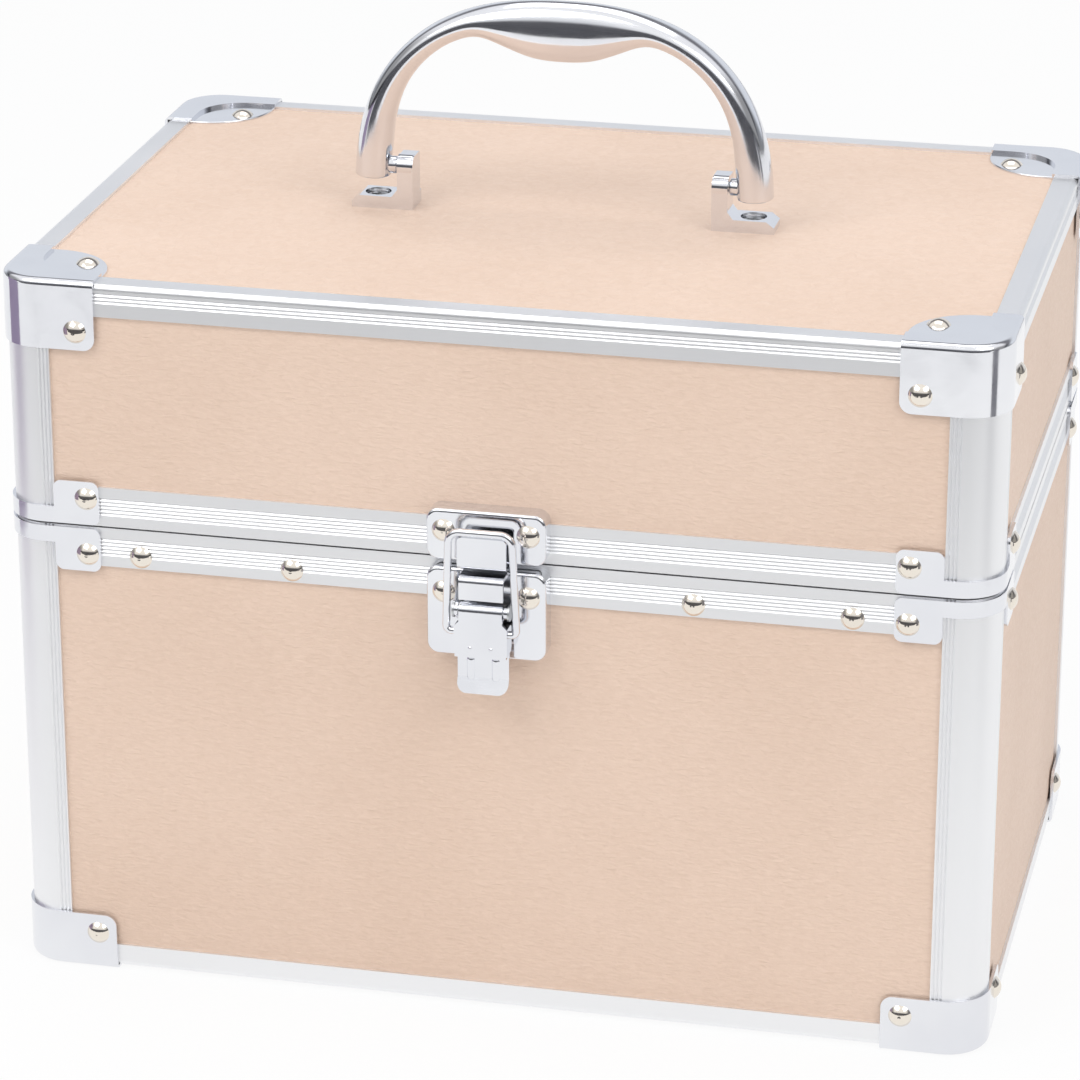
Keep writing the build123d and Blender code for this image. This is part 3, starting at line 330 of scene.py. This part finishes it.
def leather_panel(name, node, origin, across, up, out, width, height, thickness, seed, body):
    """A closed sheet of leather: a fine grid with soft edges in front, flat behind."""
    columns = max(2, round(width / panel_step))
    rows = max(2, round(height / panel_step))
    front_points, back_points = [], []
    for row in range(rows + 1):
        for column in range(columns + 1):
            u, v = width * column / columns, height * row / rows
            point = origin + across * u + up * v
            front_points.append(point + out * leather_height(u, v, width, height, seed))
            back_points.append(point - out * thickness)
    count = len(front_points)
    faces = []
    for row in range(rows):
        for column in range(columns):
            a = row * (columns + 1) + column
            b, c, d = a + 1, a + columns + 2, a + columns + 1
            faces.append((a, b, c, d))
            faces.append((count + d, count + c, count + b, count + a))
    rim = list(range(columns))
    rim += [columns + r * (columns + 1) for r in range(rows)]
    rim += [rows * (columns + 1) + c for c in range(columns, 0, -1)]
    rim += [r * (columns + 1) for r in range(rows, 0, -1)]
    for a, b in zip(rim, rim[1:] + rim[:1]):
        faces.append((b, a, count + a, count + b))
    mesh = bpy.data.meshes.new(name)
    mesh.from_pydata([tuple(p) for p in front_points + back_points], [], faces)
    mesh.update()
    for face in mesh.polygons:
        face.use_smooth = True
    piece = bpy.data.objects.new(name, mesh)
    scene.collection.objects.link(piece)
    mesh.materials.append(finishes["leatherette"])
    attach(piece, body)
    if node:
        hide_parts(node)


def make_panels():
    """Leather on each visible face, tucked under the rails and posts around it."""
    x, y, z = (Vector(axis) for axis in ((1, 0, 0), (0, 1, 0), (0, 0, 1)))
    for part in ("base", "lid"):
        rim_low, rim_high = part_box(part + "_rim_rails")
        far_low, far_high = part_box("base_bottom_rails" if part == "base" else "lid_top_rails")
        low = (far_high.z if part == "base" else rim_high.z) - panel_tuck
        high = (rim_low.z if part == "base" else far_low.z) + panel_tuck
        wall_low, wall_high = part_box(part + "_front_skin")
        back_low, back_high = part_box(part + "_back_skin")
        side_low, side_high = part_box(part + "_side_skins")
        width = rim_high.x - rim_low.x - 2 * post_face + 2 * panel_tuck
        depth = rim_high.y - rim_low.y - 2 * post_face + 2 * panel_tuck
        thickness = wall_high.y - wall_low.y
        start_x, start_y = rim_low.x + post_face - panel_tuck, rim_low.y + post_face - panel_tuck
        leather_panel(part + "_front_leather", part + "_front_skin", Vector((start_x, wall_low.y, low)),
                      x, z, -y, width, high - low, thickness, 1.0, part)
        leather_panel(part + "_back_leather", part + "_back_skin", Vector((-start_x, back_high.y, low)),
                      -x, z, y, width, high - low, thickness, 2.0, part)
        leather_panel(part + "_right_leather", part + "_side_skins", Vector((side_high.x, start_y, low)),
                      y, z, x, depth, high - low, thickness, 3.0, part)
        leather_panel(part + "_left_leather", None, Vector((side_low.x, start_y + depth, low)),
                      -y, z, -x, depth, high - low, thickness, 4.0, part)
    top_low, top_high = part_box("lid_top_skin")
    rail_low, rail_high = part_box("lid_top_rails")
    inset = top_flange - panel_tuck
    origin = Vector((rail_low.x + inset, rail_low.y + inset, top_high.z))
    leather_panel("lid_top_leather", "lid_top_skin", origin, x, y, z, rail_high.x - rail_low.x - 2 * inset,
                  rail_high.y - rail_low.y - 2 * inset, top_high.z - top_low.z, 5.0, "lid")


# ---------------------------------------------------------------- handle
handle_half_span = 54.0 * mm    # to the outer face of a leg
handle_rise = 56.5 * mm         # above the lid's leather
handle_spring_height = 5.0 * mm
handle_depth = 10.0 * mm
handle_curve_power = 2.38
handle_fullness = 0.6
handle_end_angle = 3.0          # where the legs end, in degrees
handle_end_round = 0.5 * mm
handle_end_steps = (0.25, 0.5, 0.75, 1.0)
handle_thickness = [(3.0, 9.2), (12.0, 9.0), (22.0, 8.0), (34.0, 7.0), (48.0, 6.4), (60.0, 6.4),
                    (68.0, 7.4), (76.0, 11.6), (83.0, 14.6), (90.0, 15.6)]
handle_sides = 48
handle_step = 1.0               # degrees from ring to ring
handle_smoothing = (-2, -1, 0, 1, 2)            # degrees over which the thickness is averaged
handle_tangent_step = 0.5
hub_radius = 2.2 * mm
hub_sides = 40
hub_chamfer = 0.2 * mm
hub_gap = 0.3 * mm              # to the bracket's post
bracket_post_width = 4.1 * mm


def handle_outer(angle):
    """Point on the handle's outer curve, a superellipse, at an angle from the right leg."""
    power = 2 / handle_curve_power
    c, s = cos(radians(angle)), sin(radians(angle))
    x = handle_half_span * abs(c) ** power * (1 if c >= 0 else -1)
    return Vector((x, 0, handle_spring_height + (handle_rise - handle_spring_height) * abs(s) ** power))


def thickness_at(angle):
    """Thickness of the handle in its own plane, smooth between the angles of its table."""
    angle = min(angle, 180 - angle)
    (first, thick), (second, _) = handle_thickness[:2]
    table = [(2 * first - second, thick)] + handle_thickness
    table.append((180 - table[-2][0], table[-2][1]))
    for i in range(1, len(table) - 2):
        (a, low), (b, high) = table[i], table[i + 1]
        if angle <= b:
            break
    start = (high - table[i - 1][1]) / (b - table[i - 1][0]) * (b - a)
    end = (table[i + 2][1] - low) / (table[i + 2][0] - a) * (b - a)
    t = max(0.0, (angle - a) / (b - a))
    curve = (2 * t**3 - 3 * t**2 + 1) * low + (t**3 - 2 * t**2 + t) * start
    return (curve + (3 * t**2 - 2 * t**3) * high + (t**3 - t**2) * end) * mm


def oval_point(turn):
    """Point of an oval of unit half axes, made of four cubic curves, at a turn from 0 to 1."""
    quarter, t = divmod((turn % 1.0) * 4, 1.0)
    k = handle_fullness
    u = (1 - t)**3 + 3 * (1 - t)**2 * t + 3 * (1 - t) * t**2 * k
    v = 3 * (1 - t)**2 * t * k + 3 * (1 - t) * t**2 + t**3
    return [(u, v), (-v, u), (-u, -v), (v, -u)][int(quarter)]


def tube_mesh(name, rings):
    """A closed skin over rings of points, with a flat face at each end."""
    sides = len(rings[0])
    faces = [tuple(range(sides - 1, -1, -1))]
    for r in range(len(rings) - 1):
        for i in range(sides):
            a, b = r * sides + i, r * sides + (i + 1) % sides
            faces.append((a, b, b + sides, a + sides))
    faces.append(tuple((len(rings) - 1) * sides + i for i in range(sides)))
    mesh = bpy.data.meshes.new(name)
    mesh.from_pydata([tuple(p) for ring in rings for p in ring], [], faces)
    mesh.update()
    for face in mesh.polygons:
        face.use_smooth = len(face.vertices) == 4
    mesh.materials.append(finishes["polished_metal"])
    piece = bpy.data.objects.new(name, mesh)
    scene.collection.objects.link(piece)
    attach(piece, "handle")
    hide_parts("handle")


def handle_ring(angle, shrink, origin):
    """Ring of points round the handle at an angle, shrunk by a distance all round."""
    outer = handle_outer(angle)
    ahead, behind = handle_outer(angle + handle_tangent_step), handle_outer(angle - handle_tangent_step)
    along = (ahead - behind).normalized()
    inward = Vector((-along.z, 0, along.x))
    thickness = sum(thickness_at(angle + step) for step in handle_smoothing) / len(handle_smoothing)
    middle = origin + outer + inward * thickness / 2
    a, b = thickness / 2 - shrink, handle_depth / 2 - shrink
    ring = []
    for i in range(handle_sides):
        u, v = oval_point(i / handle_sides)
        ring.append(middle + inward * (a * u) + Vector((0, b * v, 0)))
    return ring, along


def make_handle():
    """The arched grip with rounded ends, and the hub on each leg that the pivot pin enters."""
    pin_low, pin_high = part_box("handle_pivot_pins")
    axis_y, axis_z = (pin_low.y + pin_high.y) / 2, (pin_low.z + pin_high.z) / 2
    origin = Vector((0, axis_y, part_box("lid_top_skin")[1].z))
    count = round((180 - 2 * handle_end_angle) / handle_step)
    angles = [handle_end_angle + handle_step * i for i in range(count + 1)]
    rings = [handle_ring(a, 0, origin)[0] for a in angles]
    for end, sign in ((0, -1), (-1, 1)):
        soft = []
        for t in handle_end_steps:
            shrink = handle_end_round * (1 - cos(t * pi / 2))
            ring, along = handle_ring(angles[end], shrink, origin)
            step = along * sign * handle_end_round * sin(t * pi / 2)
            soft.append([p + step for p in ring])
        rings = soft[::-1] + rings if end == 0 else rings + soft
    tube_mesh("handle_grip", rings)
    leg = handle_half_span - handle_thickness[0][1] * mm / 2
    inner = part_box("handle_bracket_right")[0].x + bracket_post_width + hub_gap
    for sign, side in ((-1, "left"), (1, "right")):
        rings = []
        ends = [(inner, hub_radius - hub_chamfer), (inner + hub_chamfer, hub_radius), (leg, hub_radius)]
        for x, radius in ends:
            turns = [2 * pi * i / hub_sides for i in range(hub_sides)]
            rings.append([Vector((sign * x, axis_y + radius * cos(turn), axis_z + sign * radius * sin(turn)))
                          for turn in turns])
        tube_mesh("handle_hub_" + side, rings)


# ---------------------------------------------------------------- studio
floor_half = 6.0
floor_glow = 0.90               # share of plain white in the floor that the camera sees
card_foot = 0.002               # just above the floor
front_card_place = (-0.70, 1.1, 0.24)           # y, half width, top
left_card_place = (-0.42, -0.22, -0.02, 0.20)   # x, near end, far end, top
right_card_place = (0.46, -0.24, -0.13, 0.24)
lamp_aim = Vector((0, 0, 0.09))  # the middle of the case


def make_floor():
    """A pale floor. It shows near white, and keeps the soft shadow of the case."""
    mesh = bpy.data.meshes.new("floor")
    h = floor_half
    mesh.from_pydata([(-h, -h, 0), (h, -h, 0), (h, h, 0), (-h, h, 0)], [], [(0, 1, 2, 3)])
    floor = bpy.data.objects.new("floor", mesh)
    scene.collection.objects.link(floor)
    shader = Shader("floor_paper", {"Base Color": (0.86, 0.86, 0.86, 1), "Roughness": 0.9,
                                    "Specular IOR Level": 0.1})
    path = shader.add("ShaderNodeLightPath").outputs
    seen = shader.sums("ADD", path["Is Camera Ray"], path["Is Glossy Ray"])
    seen = shader.sums("ADD", seen, path["Is Transmission Ray"])
    seen = shader.sums("MULTIPLY", seen, floor_glow)
    glow = shader.add("ShaderNodeEmission", {"Color": (1, 1, 1, 1), "Strength": 1.0})
    mixed = shader.add("ShaderNodeMixShader", {0: seen, 1: shader.surface.outputs[0], 2: glow.outputs[0]})
    output = shader.tree.nodes["Material Output"]
    shader.tree.links.new(mixed.outputs[0], output.inputs["Surface"])
    mesh.materials.append(shader.material)


def make_card(name, corners, tone):
    """A grey card that only polished surfaces see."""
    mesh = bpy.data.meshes.new(name)
    mesh.from_pydata(corners, [], [(0, 1, 2, 3)])
    card = bpy.data.objects.new(name, mesh)
    scene.collection.objects.link(card)
    material = bpy.data.materials.new(name)
    material.use_nodes = True
    material.node_tree.nodes["Principled BSDF"].inputs["Base Color"].default_value = (*tone, 1)
    material.node_tree.nodes["Principled BSDF"].inputs["Roughness"].default_value = 1.0
    mesh.materials.append(material)
    card.visible_camera = False
    card.visible_diffuse = False
    card.visible_shadow = False
    card.visible_transmission = False


def make_cards():
    """Upright cards for the polished metal: dark in front, mauve on the left and grey on the right."""
    y, half, top = front_card_place
    outline = [(-half, y, card_foot), (half, y, card_foot), (half, y, top), (-half, y, top)]
    make_card("front_card", outline, (0.10, 0.10, 0.11))
    side_cards = [("left_card", left_card_place, (0.34, 0.28, 0.40)),
                  ("right_card", right_card_place, (0.22, 0.22, 0.24))]
    for name, (x, near, far, top), tone in side_cards:
        make_card(name, [(x, near, card_foot), (x, far, card_foot), (x, far, top), (x, near, top)], tone)


def make_lamp(name, azimuth, elevation, distance, size, power):
    """A softbox aimed at the case, with its angles in degrees and its power in watts."""
    data = bpy.data.lights.new(name, "AREA")
    data.shape = "RECTANGLE"
    data.size, data.size_y = size
    data.energy = power
    lamp = bpy.data.objects.new(name, data)
    scene.collection.objects.link(lamp)
    back = direction(azimuth, elevation)
    lamp.location = lamp_aim + back * distance
    lamp.rotation_euler = (-back).to_track_quat("-Z", "Y").to_euler()


def make_lights():
    make_lamp("key_softbox", -38, 48, 1.5, (0.9, 0.7), 5.5)
    make_lamp("fill_softbox", 52, 42, 1.6, (0.8, 0.7), 5.0)
    make_lamp("top_softbox", 180, 78, 1.4, (1.0, 0.8), 3.5)


world_light = 0.72              # strength of the even light on the case
# Tone of the studio as polished metal sees it, from the front horizon at 0 over the top at 0.5
# to the back horizon at 1.
studio_tones = [(0.0, (0.10, 0.10, 0.11)), (0.08, (0.12, 0.12, 0.13)), (0.12, (0.80, 0.81, 0.83)),
                (0.20, (1.0, 1.0, 1.0)), (0.66, (0.96, 0.96, 0.98)), (0.72, (0.20, 0.20, 0.22)),
                (0.79, (0.22, 0.22, 0.24)), (0.86, (0.78, 0.81, 0.86)), (1.0, (0.80, 0.83, 0.88))]
studio_side = (0.74, 0.90)      # share of a direction that is sideways, where the studio darkens
studio_side_tone = 0.35


def make_world():
    """An even light, white to the camera, and banded to polished metal."""
    world = bpy.data.worlds.new("studio")
    scene.world = world
    world.use_nodes = True
    tree = world.node_tree

    def add(kind, *inputs, **properties):
        made = tree.nodes.new(kind)
        for name, value in properties.items():
            setattr(made, name, value)
        for slot, value in zip(made.inputs, inputs):
            if isinstance(value, bpy.types.NodeSocket):
                tree.links.new(value, slot)
            else:
                slot.default_value = value
        return made

    way = add("ShaderNodeSeparateXYZ", add("ShaderNodeTexCoord").outputs["Generated"]).outputs
    ahead = add("ShaderNodeMath", way["Y"], -1.0, operation="MULTIPLY").outputs[0]
    turn = add("ShaderNodeMath", way["Z"], ahead, operation="ARCTAN2").outputs[0]
    turn = add("ShaderNodeMath", turn, pi, operation="DIVIDE").outputs[0]
    ramp = add("ShaderNodeValToRGB", turn)
    for place, tone in studio_tones[1:-1]:
        ramp.color_ramp.elements.new(place).color = (*tone, 1)
    ramp.color_ramp.elements[0].color = (*studio_tones[0][1], 1)
    ramp.color_ramp.elements[-1].color = (*studio_tones[-1][1], 1)
    sideways = add("ShaderNodeMath", way["X"], operation="ABSOLUTE").outputs[0]
    dim = add("ShaderNodeMapRange", sideways, *studio_side, 1.0, studio_side_tone).outputs[0]
    banded = add("ShaderNodeBackground", ramp.outputs["Color"], dim)
    path = add("ShaderNodeLightPath").outputs
    even = tree.nodes["Background"]
    even.inputs["Color"].default_value = (0.97, 0.98, 1.0, 1)
    even.inputs["Strength"].default_value = world_light
    white = add("ShaderNodeBackground", (1, 1, 1, 1), 1.0)
    straight = add("ShaderNodeMath", path["Is Camera Ray"], path["Is Transmission Ray"], operation="ADD")
    lit = add("ShaderNodeMixShader", straight.outputs[0], even.outputs[0], white.outputs[0])
    mixed = add("ShaderNodeMixShader", path["Is Glossy Ray"], lit.outputs[0], banded.outputs[0])
    tree.links.new(mixed.outputs[0], tree.nodes["World Output"].inputs["Surface"])


dress_nodes()
make_panels()
make_handle()
make_floor()
make_cards()
make_lights()
make_world()
make_camera()
scene.view_settings.view_transform = "Standard"
